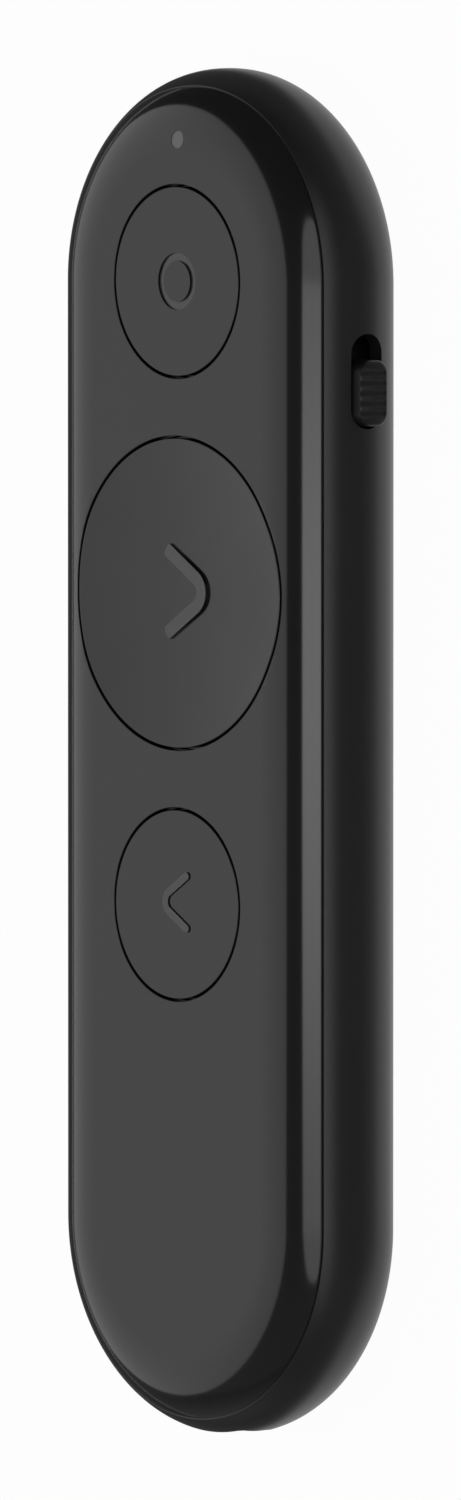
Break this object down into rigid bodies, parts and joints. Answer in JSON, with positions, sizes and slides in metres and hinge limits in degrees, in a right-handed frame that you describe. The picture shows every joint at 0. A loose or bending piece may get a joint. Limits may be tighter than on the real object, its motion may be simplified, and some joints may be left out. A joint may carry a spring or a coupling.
{
  "type": "wireless presentation clicker",
  "caption": "Slim handheld presentation remote with round press keys, a side power switch, a laser window and a charging port.",
  "frame": {"origin": "middle of the flat back, on the surface the clicker lies on", "axes": "+Z out of the face with the keys, +Y along the body to the pointer end, +X to the side with the power switch"},
  "size_m": [0.0385, 0.1198, 0.013],
  "materials": {
    "cover_plastic": "fine satin",
    "housing_plastic": "fine matte",
    "key_plastic": "fine satin",
    "knob_plastic": "matte",
    "light_pipe_plastic": "diffusing",
    "window_plastic": "clear, dark red",
    "board_resin": "solder mask",
    "chip_resin": "moulded resin",
    "connector_plastic": "moulded nylon",
    "contact_metal": "plated",
    "screw_metal": "zinc plated",
    "cell_pouch": "laminated pouch foil",
    "tape_fabric": "double-sided tape",
    "lead_plastic": "wire insulation",
    "barrel_brass": "turned",
    "lens_glass": "polished",
    "pad_rubber": "foam",
    "led_resin": "moulded"
  },
  "bodies": {
    "housing": {"front_cover": "cover_plastic", "rear_housing": "housing_plastic", "pointer_dome": "contact_metal", "next_dome": "contact_metal", "back_dome": "contact_metal", "pointer_switch": "chip_resin", "next_switch": "chip_resin", "back_switch": "chip_resin", "status_light_pipe": "light_pipe_plastic", "status_led": "led_resin", "main_board": "board_resin", "board_screws": "screw_metal", "radio_chip": "chip_resin", "radio_shield": "contact_metal", "board_chips": "chip_resin", "usb_shell": "contact_metal", "usb_tongue": "chip_resin", "power_switch_body": "contact_metal", "battery_cell": "cell_pouch", "battery_tape": "tape_fabric", "battery_board": "board_resin", "battery_leads": "lead_plastic", "battery_plug": "connector_plastic", "battery_socket": "connector_plastic", "laser_barrel": "barrel_brass", "laser_lens": "lens_glass", "laser_board": "board_resin", "laser_leads": "lead_plastic", "laser_pad": "pad_rubber", "laser_window": "window_plastic"},
    "pointer_key": {"pointer_key": "key_plastic", "pointer_plunger": "chip_resin"},
    "next_key": {"next_key": "key_plastic", "next_plunger": "chip_resin"},
    "back_key": {"back_key": "key_plastic", "back_plunger": "chip_resin"},
    "power_slide": {"power_knob": "knob_plastic", "power_lever": "connector_plastic"}
  },
  "joints": [
    {"name": "pointer_press", "type": "slide", "parent": "housing", "child": "pointer_key", "axis": [0, 0, -1], "range_m": [0, 0.0004], "stiffness_N_per_m": 400, "springref_m": -0.003, "deforming": ["pointer_dome"]},
    {"name": "next_press", "type": "slide", "parent": "housing", "child": "next_key", "axis": [0, 0, -1], "range_m": [0, 0.0004], "stiffness_N_per_m": 400, "springref_m": -0.003, "deforming": ["next_dome"]},
    {"name": "back_press", "type": "slide", "parent": "housing", "child": "back_key", "axis": [0, 0, -1], "range_m": [0, 0.0004], "stiffness_N_per_m": 400, "springref_m": -0.003, "deforming": ["back_dome"]},
    {"name": "power_slide", "type": "slide", "parent": "housing", "child": "power_slide", "axis": [0, 1, 0], "range_m": [0, 0.002]}
  ]
}
